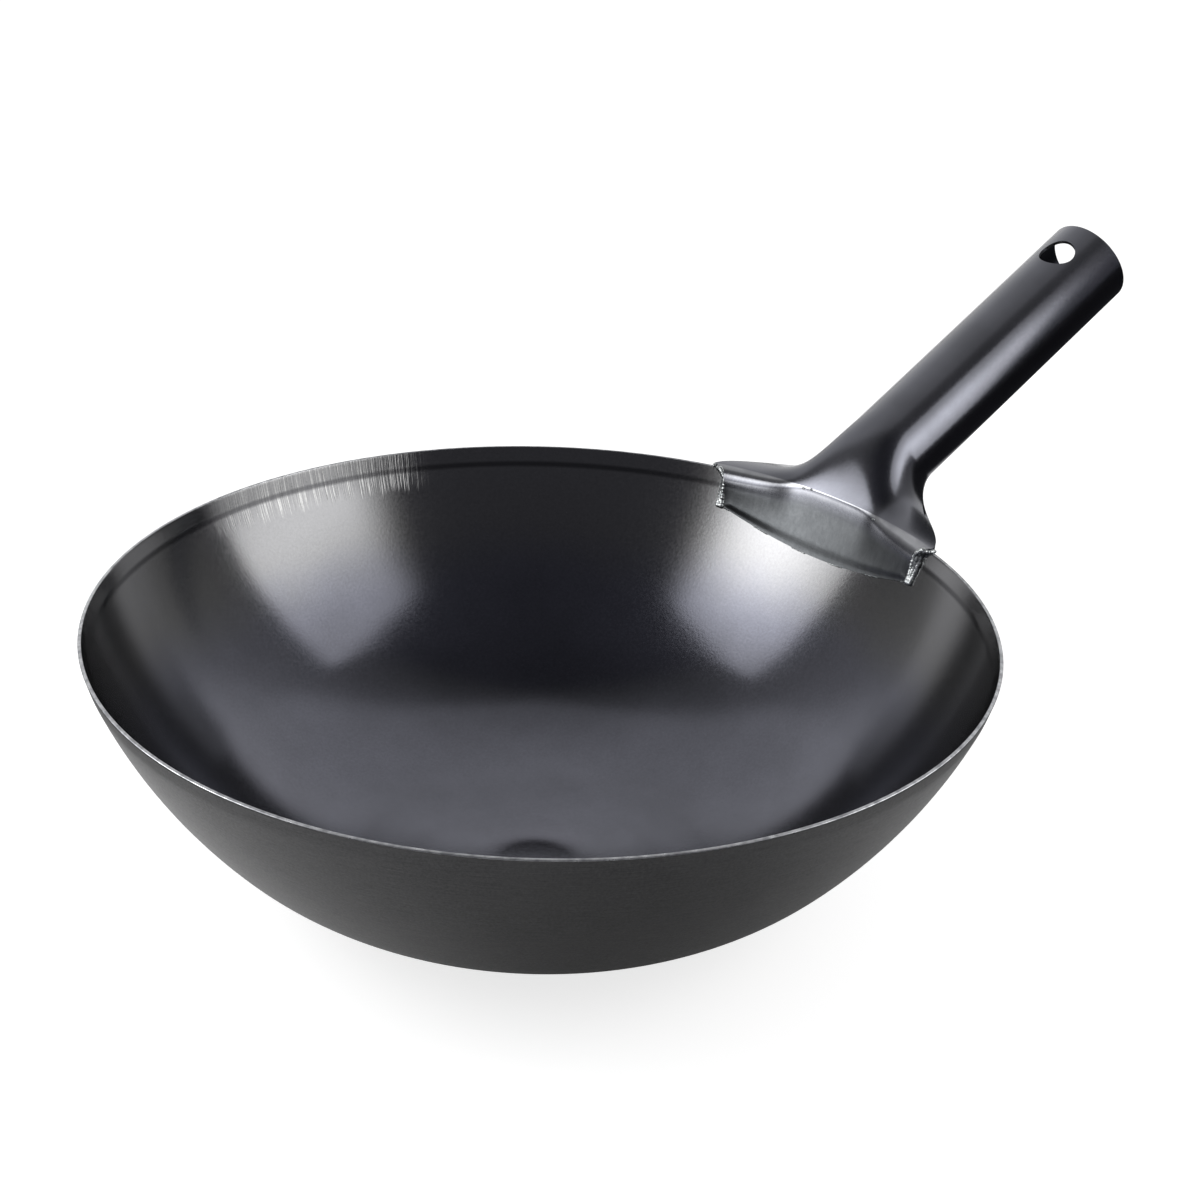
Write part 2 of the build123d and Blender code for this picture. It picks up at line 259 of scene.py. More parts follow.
def groundEdge():
    material, tree = newMaterial("bare ground steel edge")
    place = addNode(tree, "ShaderNodeTexCoord").outputs["Object"]
    nicks = addNode(tree, "ShaderNodeTexNoise", {
        "Vector": place, "Scale": 1 / (cutEdge["nickSize"] * mm), "Detail": 4.0})
    share = addNode(tree, "ShaderNodeMapRange", {
        "Value": nicks.outputs[0], "From Min": 0.35, "From Max": 0.65})
    tint = addNode(tree, "ShaderNodeMix", {
        0: share, 6: hexColour(cutEdge["dark"]), 7: hexColour(cutEdge["bright"])},
        data_type="RGBA")
    rough = addNode(tree, "ShaderNodeMapRange", {
        "Value": nicks.outputs[0], "To Min": cutEdge["rough"] + cutEdge["roughHalf"],
        "To Max": cutEdge["rough"] - cutEdge["roughHalf"]})
    finishMetal(tree, tint, rough, nicks.outputs[0], cutEdge["nickDepth"] * mm)
    return material


# Rolled and blued sheet: a smooth violet-black sheen, duller and greyer on the ground leaf,
# with a painted highlight along the fold. The leaf's brushing is drawn coarser than it is, to show.
rolled = {
    "sheen": "#6c6d74", "cloud": "#626369", "rough": 0.19, "grainHeight": 0.012,
    "leaf": "#57595b", "leafDark": "#4b4d4f", "leafRough": 0.36, "brushWidth": 2.381,
    "brushLong": 0.3, "brushGrains": 4.0, "paintedHighlight": "#a3a4a8", "highlightPatch": 11.111,
}


def rolledHandle():
    material, tree = newMaterial("blued carbon steel, rolled")
    place = addNode(tree, "ShaderNodeTexCoord").outputs["Object"]
    ground = addNode(tree, "ShaderNodeAttribute", attribute_name="ground").outputs["Fac"]
    sheen = cloudyTint(tree, place, rolled["sheen"], rolled["cloud"])
    upright = addNode(tree, "ShaderNodeMapping", {
        "Vector": place, "Scale": (1, 1, rolled["brushLong"])})
    brushing = addNode(tree, "ShaderNodeTexNoise", {
        "Vector": upright, "Scale": 1 / (rolled["brushWidth"] * mm), "Detail": 5.0,
        "Roughness": 0.7})
    satin = addNode(tree, "ShaderNodeMapRange", {
        "Value": brushing.outputs[0], "From Min": 0.3, "From Max": 0.7})
    leaf = addNode(tree, "ShaderNodeMix", {
        0: satin, 6: hexColour(rolled["leafDark"]), 7: hexColour(rolled["leaf"])},
        data_type="RGBA")
    tint = addNode(tree, "ShaderNodeMix", {0: ground, 6: sheen, 7: leaf}, data_type="RGBA")
    # A patchy pale grey painted highlight along the fold and the top of the leaf
    paintedHighlight = addNode(tree, "ShaderNodeAttribute", attribute_name="paintedHighlight").outputs["Fac"]
    patchy = addNode(tree, "ShaderNodeTexNoise", {
        "Vector": place, "Scale": 1 / (rolled["highlightPatch"] * mm), "Detail": 3.0})
    paintedHighlight = addNode(tree, "ShaderNodeMath", {0: paintedHighlight, 1: patchy}, operation="MULTIPLY")
    bare = addNode(tree, "ShaderNodeMapRange", {"Value": paintedHighlight, "From Max": 0.5})
    tint = addNode(tree, "ShaderNodeMix", {0: bare, 6: tint, 7: hexColour(rolled["paintedHighlight"])},
                   data_type="RGBA")
    grain = addNode(tree, "ShaderNodeTexNoise", {
        "Vector": place, "Scale": 1 / (sheetSteel["grainSize"] * mm), "Detail": 3.0})
    plain = addNode(tree, "ShaderNodeMapRange", {
        "Value": grain.outputs[0], "From Min": 0.3, "From Max": 0.7,
        "To Min": rolled["rough"] - 0.02, "To Max": rolled["rough"] + 0.03})
    rough = addNode(tree, "ShaderNodeMath", {
        0: ground, 1: rolled["leafRough"] - rolled["rough"], 2: plain},
        operation="MULTIPLY_ADD")
    deep = addNode(tree, "ShaderNodeMath", {0: ground, 1: brushing.outputs[0]},
                   operation="MULTIPLY")
    height = addNode(tree, "ShaderNodeMath", {
        0: deep, 1: rolled["brushGrains"], 2: grain.outputs[0]}, operation="MULTIPLY_ADD")
    finishMetal(tree, tint, rough, height, rolled["grainHeight"] * mm)
    return material


# Weld metal: bright, lumpy and dark between its ripples
beadMetal = {"bright": "#d2d5d5", "dark": "#8b8f90", "rough": 0.32, "rippleSize": 1.4286,
             "rippleHeight": 0.15}


def weldMetal():
    material, tree = newMaterial("bare weld metal")
    place = addNode(tree, "ShaderNodeTexCoord").outputs["Object"]
    ripples = addNode(tree, "ShaderNodeTexNoise", {
        "Vector": place, "Scale": 1 / (beadMetal["rippleSize"] * mm), "Detail": 5.0,
        "Roughness": 0.7})
    share = addNode(tree, "ShaderNodeMapRange", {
        "Value": ripples.outputs[0], "From Min": 0.4, "From Max": 0.6})
    tint = addNode(tree, "ShaderNodeMix", {
        0: share, 6: hexColour(beadMetal["dark"]), 7: hexColour(beadMetal["bright"])},
        data_type="RGBA")
    finishMetal(tree, tint, beadMetal["rough"], ripples.outputs[0],
                beadMetal["rippleHeight"] * mm)
    return material


insideSteel = pressedInside()
outsideSteel = scaledOutside()
edgeSteel = groundEdge()
handleSteel = rolledHandle()
weldSteel = weldMetal()
print("materials made")


def makePiece(name, points, faces, slots, faceSlots, marks=None):    # marks are point values
    used, places = np.unique(np.concatenate([f.ravel() for f in faces]), return_inverse=True)
    points = points[used] * mm
    shapes, start = [], 0
    for block in faces:
        shapes += places[start:start + block.size].reshape(block.shape).tolist()
        start += block.size
    mesh = bpy.data.meshes.new(name)
    mesh.from_pydata(points.tolist(), [], shapes)
    for material in slots:
        mesh.materials.append(material)
    mesh.polygons.foreach_set("material_index", np.concatenate(faceSlots).astype(np.int32))
    for mark, values in (marks or {}).items():
        mesh.attributes.new(mark, "FLOAT", "POINT").data.foreach_set("value", values[used])
    mesh.shade_smooth()
    mesh.validate()
    piece = bpy.data.objects.new(name, mesh)
    bpy.context.scene.collection.objects.link(piece)
    return piece


def quads(index):    # faces between the rows and columns of a table of point numbers
    return np.stack([index[:-1, :-1], index[:-1, 1:], index[1:, 1:], index[1:, :-1]],
                    -1).reshape(-1, 4)


def bowlWall(inset):    # radius and height from the middle of the base to just below the rim
    lower, upper = bowl["lowerArc"] - inset, upperArc - inset
    line = [(r, inset) for r in np.linspace(0, bowl["baseRadius"], bowl["baseRows"] + 1)]
    for t in np.linspace(0, bowl["blendSlope"], bowl["lowerRows"] + 1)[1:]:
        line.append((bowl["baseRadius"] + lower * sin(t), bowl["lowerArc"] - lower * cos(t)))
    softened = bowl["slopeBelowBand"] - bowl["creaseHalf"] / upper
    for t in np.linspace(bowl["blendSlope"], softened, bowl["upperRows"] + 1)[1:]:
        line.append((arcR + upper * sin(t), arcZ - upper * cos(t)))
    along = np.array([cos(bowl["bandSlope"]), sin(bowl["bandSlope"])])
    edge = np.array([bowl["rimRadius"] - inset * sin(bowl["bandSlope"]),
                     rimHeight + inset * cos(bowl["bandSlope"])])
    for below in np.linspace(bowl["band"] - bowl["creaseHalf"], bowl["edgeRound"],
                             bowl["bandRows"] + 1):
        line.append(tuple(edge - below * along))
    return line


def rimEdge():    # the square cut end of the sheet, with its two corners rounded
    along = np.array([cos(bowl["bandSlope"]), sin(bowl["bandSlope"])])
    inwards = np.array([-along[1], along[0]])
    corner = np.array([bowl["rimRadius"], rimHeight])
    r = bowl["edgeRound"]
    turns = np.linspace(0, pi / 2, bowl["roundRows"] + 1)
    line = []
    for t in turns[1:]:
        line.append(corner - r * along + r * inwards - r * cos(t) * inwards + r * sin(t) * along)
    far = corner + bowl["sheet"] * inwards
    for t in turns[:-1]:
        line.append(far - r * along - r * inwards + r * cos(t) * along + r * sin(t) * inwards)
    return [tuple(p) for p in line]


def makeBowl():
    outside, edge, inside = bowlWall(0), rimEdge(), bowlWall(bowl["sheet"])[::-1]
    line = np.array([*outside, *edge, *inside])
    turns = bowl["turns"]
    angles = np.arange(turns) * 2 * pi / turns
    ring = line[1:-1]
    points = np.stack([ring[:, :1] * np.cos(angles), ring[:, :1] * np.sin(angles),
                       np.repeat(ring[:, 1:], turns, 1)], -1).reshape(-1, 3)
    index = np.arange(len(points)).reshape(len(ring), turns)
    index = np.concatenate([index, index[:, :1]], 1)
    low, high = len(points), len(points) + 1
    points = np.concatenate([points, [[0, 0, line[0, 1]], [0, 0, line[-1, 1]]]])
    bottom = np.stack([np.full(turns, low), index[0, 1:], index[0, :-1]], -1)
    top = np.stack([np.full(turns, high), index[-1, :-1], index[-1, 1:]], -1)
    walls = quads(index)
    row = np.repeat(np.arange(len(ring) - 1), turns)
    slot = np.where(row < len(outside) - 1, 0, np.where(row < len(outside) + len(edge) - 1, 1, 2))
    return makePiece("wokBowl", points, [walls, bottom, top], [outsideSteel, edgeSteel, insideSteel],
                     [slot, np.zeros(turns), np.full(turns, 2)])


# Handle, one sheet from the leaf inside the bowl to the free end of the tube. A size with
# three values is for the tube's top, sides and underside, and one with two values is for
# the middle of the fold and the wing tips.
handle = {
    "sheet": 1.2, "tubeRadius": 16.3, "length": 150.5, "slope": radians(21.6),
    "axisAboveRim": 0.6, "seamGap": 1, "holeRadius": 6.7, "holeFromEnd": 16,
    "flare": (34, 27, 45), "tubeRun": (9, 4, 16), "foldRun": (20, 8, 12),
    "wingTurn": radians(30), "lift": (radians(63), radians(2)), "neckShare": 0.45,
    "neckSharp": 6, "foldRadius": (2.8, 5), "foldAboveRim": (2.2, 1.6),
    "foldInsideRim": (2, 0.6), "wingSpan": 51.3, "leafSpan": 46, "leafDepth": 19.1,
    "leafEndDepth": 12.1, "leafClearance": 0.15, "leafFall": radians(76), "leafEdge": 0.45,
    "thinFromDepth": 0.75, "thinFromSpan": 0.9, "edgeRound": 0.2, "roundFrom": radians(50),
    # The next three sizes place a painted highlight along the fold and the top of the leaf.
    "groundBy": 1 / 3, "highlightAtLeaf": 0.6, "highlightUntil": 0.12, "highlightMiddle": 0.7,
    "plainTubeFrom": 50, "patchHalf": 9.5,
    "across": 144, "leafRows": 24, "foldRows": 12, "flareRows": 64, "rollRows": 6,
    "tubeRows": 39, "endRows": 7, "holePatch": 14, "holeRings": 8,
}
axis = np.array([cos(handle["slope"]), 0, sin(handle["slope"])])
tubeUp = np.array([-sin(handle["slope"]), 0, cos(handle["slope"])])
tubeSide = np.array([0.0, 1, 0])
axisStart = np.array([bowl["rimRadius"], 0, rimHeight + handle["axisAboveRim"]])
upwards = np.array([0.0, 0, 1])


def around(sizes, angle):    # a size given on the tube's top, sides and underside
    top, side, under = sizes
    return ((top + 2 * side + under) / 4 + (top - under) / 2 * np.cos(angle)
            + (top - 2 * side + under) / 4 * np.cos(2 * angle))


def towardsTip(sizes, share):    # a size given at the middle of the fold and at the wing tips
    middle, tip = sizes
    return middle + (tip - middle) * (1 - (1 - share**2)**2)


def outwards(angle):
    return np.stack([np.cos(angle), np.sin(angle), 0 * angle], -1)


def sideways(angle):
    return np.stack([-np.sin(angle), np.cos(angle), 0 * angle], -1)


def tubeAngle(share):
    return share * (pi - handle["seamGap"] / 2 / handle["tubeRadius"])


def tubePoint(angle, distance, inset=0):
    angle, distance = np.broadcast_arrays(angle, distance)
    ring = np.cos(angle)[..., None] * tubeUp + np.sin(angle)[..., None] * tubeSide
    return axisStart + distance[..., None] * axis + (handle["tubeRadius"] - inset) * ring


def insideWall(depth, lift):    # radius inside the bowl, lift away from the wall
    z, inset = rimHeight - depth, bowl["sheet"] + lift
    slope = bowl["bandSlope"]
    onArc = arcR + np.sqrt((upperArc - inset)**2 - (arcZ - z)**2)
    onBand = bowl["rimRadius"] - (inset + depth * cos(slope)) / sin(slope)
    return np.minimum(onArc, onBand)


def foldStart(share):
    return (bowl["rimRadius"] - towardsTip(handle["foldInsideRim"], share),
            rimHeight + towardsTip(handle["foldAboveRim"], share))


def foldLift(share):    # how steeply the sheet rises behind the fold
    middle, tip = handle["lift"]
    return tip + (middle - tip) / (1 + (share / handle["neckShare"])**handle["neckSharp"])


def foldBend(share, bend):    # how far in and down the fold has come at a steepness
    radius, lift = towardsTip(handle["foldRadius"], share), foldLift(share)
    return radius * (np.sin(bend) - np.sin(lift)), radius * (np.cos(lift) - np.cos(bend))


def flareRow(share, step):
    angle, rimAngle = tubeAngle(share), share * handle["wingSpan"] / bowl["rimRadius"]
    turn = (-share * np.abs(share)**0.5 * handle["wingTurn"])[:, None]
    lift = foldLift(share)[:, None]
    level = np.cos(turn) * outwards(rimAngle) + np.sin(turn) * sideways(rimAngle)
    heading = np.cos(lift) * level + np.sin(lift) * upwards
    radius, height = foldStart(share)
    first = radius[:, None] * outwards(rimAngle) + height[:, None] * upwards
    last = tubePoint(angle, around(handle["flare"], angle))
    nearFold = first + around(handle["foldRun"], angle)[:, None] * heading
    nearTube = last - around(handle["tubeRun"], angle)[:, None] * axis
    back = 1 - step
    return (back**3 * first + 3 * step * back**2 * nearFold
            + 3 * step**2 * back * nearTube + step**3 * last)


def leafAngle(share, step):
    span = handle["wingSpan"] + (handle["leafSpan"] - handle["wingSpan"]) * step
    return share * span / bowl["rimRadius"]


def foldRow(share, step):
    lift = foldLift(share)
    inwards, down = foldBend(share, lift + step * (handle["leafFall"] - lift))
    radius, height = foldStart(share)
    return ((radius - inwards)[:, None] * outwards(leafAngle(share, step))
            + (height - down)[:, None] * upwards)


def leafSheet(share, step):    # the leaf is ground thinner towards its free edges
    down, out = handle["thinFromDepth"], handle["thinFromSpan"]
    near = np.maximum(np.clip((step - down) / (1 - down), 0, 1),
                      step * np.clip((np.abs(share) - out) / (1 - out), 0, 1))
    near = near**2 * (3 - 2 * near)
    return handle["sheet"] + (handle["leafEdge"] - handle["sheet"]) * near


def leafRow(share, step):
    radius, height = foldStart(share)
    inwards, down = foldBend(share, handle["leafFall"])
    top = rimHeight - height + down
    lowest = (handle["leafEndDepth"]
              + (handle["leafDepth"] - handle["leafEndDepth"]) * (1 - share**2))
    depth = top + (lowest - top) * step
    gap = insideWall(top, handle["sheet"] + handle["leafClearance"]) - radius + inwards
    seat = leafSheet(share, step) + handle["leafClearance"]
    radius = insideWall(depth, seat) - gap * (1 - step**2 * (3 - 2 * step))
    return radius[:, None] * outwards(leafAngle(share, 1)) + (rimHeight - depth)[:, None] * upwards


def handleRows(share):    # rows of points, the sheet's thickness, how ground and how much painted highlight
    leafSteps = np.linspace(1, 0, handle["leafRows"])[:-1]
    foldSteps = np.linspace(1, 0, handle["foldRows"])[:-1]
    flareSteps = np.linspace(0, 1, handle["flareRows"])
    rows = [leafRow(share, s) for s in leafSteps]
    rows += [foldRow(share, s) for s in foldSteps]
    rows += [flareRow(share, s) for s in flareSteps]
    full = np.full(share.shape, handle["sheet"])
    sheets = [leafSheet(share, s) for s in leafSteps]
    sheets += [full] * (len(foldSteps) + len(flareSteps))
    plain = [0.0] * (len(foldSteps) + len(flareSteps))
    ground = [min(1.0, s / handle["groundBy"]) for s in leafSteps] + plain
    # Painted highlight: strongest along the middle of the fold, fading down the top of the leaf
    paintedHighlight = [handle["highlightAtLeaf"] * max(0.0, 1 - s / handle["highlightUntil"]) for s in leafSteps]
    paintedHighlight += [sin(pi * s**handle["highlightMiddle"]) for s in foldSteps]
    paintedHighlight += [0.0] * len(flareSteps)
    angle = tubeAngle(share)
    starts = around(handle["flare"], angle)
    for s in np.linspace(0, 1, handle["rollRows"] + 1)[1:]:
        rows.append(tubePoint(angle, starts + (handle["plainTubeFrom"] - starts) * s))
        sheets.append(full)
    return rows, sheets, ground, paintedHighlight


def handleWalls(share):    # the sheet's outer and inner points row by row, with their marks
    rows, sheets, ground, paintedHighlight = handleRows(share)
    angle, start = tubeAngle(share), handle["plainTubeFrom"]
    centre, half = handle["length"] - handle["holeFromEnd"], handle["patchHalf"]
    distances = [*np.linspace(start, centre - half, handle["tubeRows"] + 1)[1:],
                 *np.linspace(centre - half, centre + half, 2 * handle["holePatch"] + 1)[1:],
                 *np.linspace(centre + half, handle["length"], handle["endRows"] + 1)[1:]]
    plainFrom = len(rows) - 1
    outer = np.stack(rows + [tubePoint(angle, d) for d in distances])
    normal = np.cross(np.gradient(outer, axis=0), np.gradient(outer, axis=1))
    normal /= np.linalg.norm(normal, axis=-1, keepdims=True)
    thick = np.stack(sheets + [sheets[-1]] * len(distances))[..., None]
    inner = outer - thick * normal
    for i, d in enumerate([start, *distances]):
        inner[plainFrom + i] = tubePoint(angle, d, handle["sheet"])
    return outer, inner, plainFrom, ground, paintedHighlight


def holeRings(border, flat):    # rings of points from the patch's border in to the round hole
    centre = handle["length"] - handle["holeFromEnd"]
    offsets = flat[border] - axisStart
    borderDistance = offsets @ axis
    borderAngle = np.arctan2(offsets @ tubeSide, offsets @ tubeUp)
    heading = np.arctan2(borderAngle * handle["tubeRadius"], borderDistance - centre)
    points, rings = [], [[border], [border + len(flat)]]
    total = 2 * len(flat)
    for side, inset in enumerate((0, handle["sheet"])):
        radius = handle["tubeRadius"] - inset
        holeAngle = np.arcsin(handle["holeRadius"] * np.sin(heading) / radius)
        holeDistance = centre + handle["holeRadius"] * np.cos(heading)
        for s in np.linspace(0, 1, handle["holeRings"] + 1)[1:]:
            ring = tubePoint(borderAngle + (holeAngle - borderAngle) * s,
                             borderDistance + (holeDistance - borderDistance) * s, inset)
            points.append(ring)
            rings[side].append(np.arange(total, total + len(ring)))
            total += len(ring)
    return points, rings


def ringFaces(table):    # faces between rings of points that close on themselves
    table = np.stack(table)
    return quads(np.concatenate([table, table[:, :1]], 1))


def edgeFaces(line, count):    # faces between a line on the outer wall and its twin inside
    return quads(np.stack([line, line + count]))


def makeHandle():
    columns, patch = handle["across"], handle["holePatch"]
    outer, inner, plainFrom, ground, paintedHighlight = handleWalls(np.linspace(-1, 1, columns + 1))
    flat = outer.reshape(-1, 3)
    count = len(flat)
    index = np.arange(count).reshape(outer.shape[:2])

    # A patch of the tube's faces is left out, and rings close it in to the hanging hole
    low = plainFrom + handle["tubeRows"]
    high = low + 2 * patch
    left, right = columns // 2 - patch, columns // 2 + patch
    keep = np.ones((index.shape[0] - 1, index.shape[1] - 1), bool)
    keep[low:high, left:right] = False
    keep = keep.ravel()
    border = np.concatenate([index[low, left:right], index[low:high, right],
                             index[high, right:left:-1], index[high:low:-1, left]])
    holePoints, rings = holeRings(border, flat)

    # Each wall with its material: 0 is the rolled sheet, 1 is steel left bare by a cut
    walls = [
        (quads(index)[keep][:, ::-1], 0), (ringFaces(rings[0])[:, ::-1], 0),
        (quads(index + count)[keep], 0), (ringFaces(rings[1]), 0),
        (edgeFaces(index[0], count)[:, ::-1], 0), (edgeFaces(index[-1], count), 1),
        (edgeFaces(index[:, 0], count), 0), (edgeFaces(index[:, -1], count)[:, ::-1], 0),
        (ringFaces([rings[0][-1], rings[1][-1]]), 1),
    ]
    points = np.concatenate([flat, inner.reshape(-1, 3), *holePoints])
    marks = {}
    for mark, values in (("ground", ground), ("paintedHighlight", paintedHighlight)):
        marks[mark] = np.zeros(len(points))
        values = np.repeat(values, columns + 1)
        marks[mark][:len(values)] = values
        marks[mark][count:count + len(values)] = values
    piece = makePiece("wokHandle", points, [faces for faces, slot in walls],
                      [handleSteel, edgeSteel],
                      [np.full(len(faces), slot) for faces, slot in walls], marks)
    bevel = piece.modifiers.new("roundedEdges", "BEVEL")
    bevel.width = handle["edgeRound"] * mm
    bevel.segments = 2
    bevel.angle_limit = handle["roundFrom"]
    bevel.harden_normals = True
    return piece


bowlPiece = makeBowl()
handlePiece = makeHandle()
print("bowl and handle made")

# Weld beads: runs of small round blobs, melted together, lengths in millimetres. A filling
# is a share of the way in to the bowl's wall and how far it reaches beyond the leaf's end,
# and a spatter dot is its place across and along the fold.
weld = {
    "blobEvery": 0.35, "uneven": 0.15, "skinGrain": 0.15, "skinLevel": 0.1, "seed": 7,
    "end": 0.6, "endSunk": 0.3, "endBeyond": 0.35, "foldSteps": (0.5, 1, 5),
    "leafSteps": (0.1, 1, 9), "corner": (0.985, 0.96, 0.93),
    "filling": 1.0, "fillings": ((0.35, -0.1), (0.6, 0.6), (0.9, 1.3)),
    "tack": 0.7, "tackBeyond": 0.3, "tackAbove": 0.6, "tackInside": (1.6, 0.7, -0.1),
    "seam": 0.35, "seams": (-0.6, -0.2, 0.2, 0.6), "seamHalf": 0.065, "seamLift": 0.1,
    "seamBelow": 0.2,
    "spatter": 0.4, "spatters": ((0.3, 0.9), (0.22, 0.6), (-0.42, 0.8)), "spatterLong": 0.4,
}


def weldTree():
    tree = bpy.data.node_groups.new("weldBead", "GeometryNodeTree")
    tree.interface.new_socket("Geometry", in_out="INPUT", socket_type="NodeSocketGeometry")
    for name in ("Blob every", "Uneven", "Skin grain"):
        tree.interface.new_socket(name, in_out="INPUT", socket_type="NodeSocketFloat")
    tree.interface.new_socket("Seed", in_out="INPUT", socket_type="NodeSocketInt")
    tree.interface.new_socket("Geometry", in_out="OUTPUT", socket_type="NodeSocketGeometry")
    given = addNode(tree, "NodeGroupInput").outputs
    run = addNode(tree, "GeometryNodeMeshToCurve", {0: given["Geometry"]})
    spaced = addNode(tree, "GeometryNodeResampleCurve", {
        "Curve": run, "Length": given["Blob every"]}, mode="LENGTH")
    dots = addNode(tree, "GeometryNodeCurveToPoints", {"Curve": spaced}, mode="EVALUATED")
    least = addNode(tree, "ShaderNodeMath", {0: 1.0, 1: given["Uneven"]}, operation="SUBTRACT")
    most = addNode(tree, "ShaderNodeMath", {0: 1.0, 1: given["Uneven"]}, operation="ADD")
    size = addNode(tree, "FunctionNodeRandomValue", {
        2: least, 3: most, "Seed": given["Seed"]}, data_type="FLOAT")
    girth = addNode(tree, "GeometryNodeInputNamedAttribute", {"Name": "girth"}, data_type="FLOAT")
    radius = addNode(tree, "ShaderNodeMath", {0: size.outputs[1], 1: girth}, operation="MULTIPLY")
    metal = addNode(tree, "GeometryNodePointsToVolume", {
        "Points": dots.outputs["Points"], "Radius": radius, "Voxel Size": given["Skin grain"]},
        resolution_mode="VOXEL_SIZE")
    skin = addNode(tree, "GeometryNodeVolumeToMesh", {
        "Volume": metal, "Voxel Size": given["Skin grain"], "Threshold": weld["skinLevel"]},
        resolution_mode="VOXEL_SIZE")
    smooth = addNode(tree, "GeometryNodeSetShadeSmooth", {0: skin})
    whole = addNode(tree, "GeometryNodeRealizeInstances", {0: smooth})
    made = addNode(tree, "GeometryNodeSetMaterial", {"Geometry": whole, "Material": weldSteel})
    addNode(tree, "NodeGroupOutput", {0: made})
    return tree


def makeBead(name, tree, runs, seed):    # a run is a list of places, each with a blob radius
    places, edges = [], []
    for run in runs:
        edges += [(len(places) + i, len(places) + i + 1) for i in range(len(run) - 1)]
        places += run
    mesh = bpy.data.meshes.new(name)
    mesh.from_pydata([tuple(np.array(place) * mm) for place, girth in places], edges, [])
    girths = [girth * mm for place, girth in places]
    mesh.attributes.new("girth", "FLOAT", "POINT").data.foreach_set("value", girths)
    piece = bpy.data.objects.new(name, mesh)
    bpy.context.scene.collection.objects.link(piece)
    modifier = piece.modifiers.new("bead", "NODES")
    modifier.node_group = tree
    values = {"Blob every": weld["blobEvery"] * mm, "Uneven": weld["uneven"],
              "Skin grain": weld["skinGrain"] * mm, "Seed": seed}
    for item in tree.interface.items_tree:
        if item.in_out == "INPUT" and item.name in values:
            modifier[item.identifier] = values[item.name]
    seen = piece.evaluated_get(bpy.context.evaluated_depsgraph_get())
    piece.data = bpy.data.meshes.new_from_object(seen)
    piece.modifiers.remove(modifier)
    piece.data.name = name
    return piece


def acrossEnd(side, depthShare, beyond, girth):    # down the sheet's cut end, wing to leaf
    share = np.array([float(side)])
    rows = [foldRow(share, step)[0] for step in np.linspace(*weld["foldSteps"])]
    rows += [leafRow(share, step)[0] for step in np.linspace(*weld["leafSteps"])]
    run = []
    for outer in rows:
        angle = np.arctan2(outer[1], outer[0])
        height = min(outer[2], rimHeight)
        wall = insideWall(rimHeight - height, 0) * outwards(angle) + height * upwards
        place = outer + (wall - outer) * depthShare
        run.append((place + side * beyond * sideways(angle), girth))
    return run


def underLeaf(share):    # where the leaf's lower edge meets the bowl's inside wall
    place = leafRow(np.array([share]), 1.0)[0]
    height = place[2] - weld["seamBelow"]
    wall = insideWall(rimHeight - height, weld["seamLift"])
    return wall * outwards(np.arctan2(place[1], place[0])) + height * upwards, weld["seam"]


def endRuns(side):    # a bead down one end of the leaf, and the metal that closes its gap
    bead = acrossEnd(side, weld["endSunk"], weld["endBeyond"], weld["end"])
    bead += [underLeaf(side * share) for share in weld["corner"]]
    return [bead, *[acrossEnd(side, depthShare, beyond, weld["filling"])
                    for depthShare, beyond in weld["fillings"]]]


def tackRun(side):    # across the rim, beside one wing tip
    angle = np.float64(side * (handle["wingSpan"] + weld["tackBeyond"]) / bowl["rimRadius"])
    height = (rimHeight + weld["tackAbove"]) * upwards
    return [((bowl["rimRadius"] - inside) * outwards(angle) + height, weld["tack"])
            for inside in weld["tackInside"]]


def seamRuns():    # short tacks along the leaf's lower edge, and spatter left on the fold
    runs = [[underLeaf(middle + way * weld["seamHalf"]) for way in (-1, -0.5, 0, 0.5, 1)]
            for middle in weld["seams"]]
    for share, step in weld["spatters"]:
        spot = foldRow(np.array([share]), step)[0]
        beside = spot + np.array([0, weld["spatterLong"], 0])
        runs.append([(spot, weld["spatter"]), (beside, weld["spatter"])])
    return runs


tree = weldTree()
beads = {}
for name, side in (("left", 1), ("right", -1)):
    beads[f"leaf_end_weld_{name}"] = makeBead(f"leafEndWeld_{name}", tree, endRuns(side),
                                              weld["seed"])
    beads[f"wing_tack_{name}"] = makeBead(f"wingTack_{name}", tree, [tackRun(side)],
                                          weld["seed"] + side)
beads["leaf_seam_welds"] = makeBead("leafSeamWelds", tree, seamRuns(), weld["seed"] + 3)
for node, piece in beads.items():
    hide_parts(node)
    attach(piece, "root")
for piece, node, slotName in ((bowlPiece, "bowl", "bowl_steel"),
                              (handlePiece, "handle", "handle_steel")):
    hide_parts(node)
    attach(piece, "root")
print("welds made")

# Camera at the photograph's angle, lengths in millimetres
view = {
    "place": (-713.944, -685.945, 579.487), "forward": (0.66047, 0.61123, -0.4361),
    "above": (0.29537, 0.32248, 0.89931), "lens": 101.64, "sensor": 36,
    "angle": radians(-136.15),    # where the camera stands, seen from the bowl's axis
}
camera = bpy.data.objects.new("camera", bpy.data.cameras.new("camera"))
bpy.context.scene.collection.objects.link(camera)
forward, above = np.array(view["forward"]), np.array(view["above"])
placing = np.stack([np.cross(forward, above), above, -forward, np.array(view["place"]) * mm], -1)
camera.matrix_world = Matrix([*placing.tolist(), (0, 0, 0, 1)])
camera.data.lens = view["lens"]
camera.data.sensor_width = view["sensor"]
bpy.context.scene.camera = camera
toTheRight = (cos(view["angle"] + pi / 2), sin(view["angle"] + pi / 2), 0)

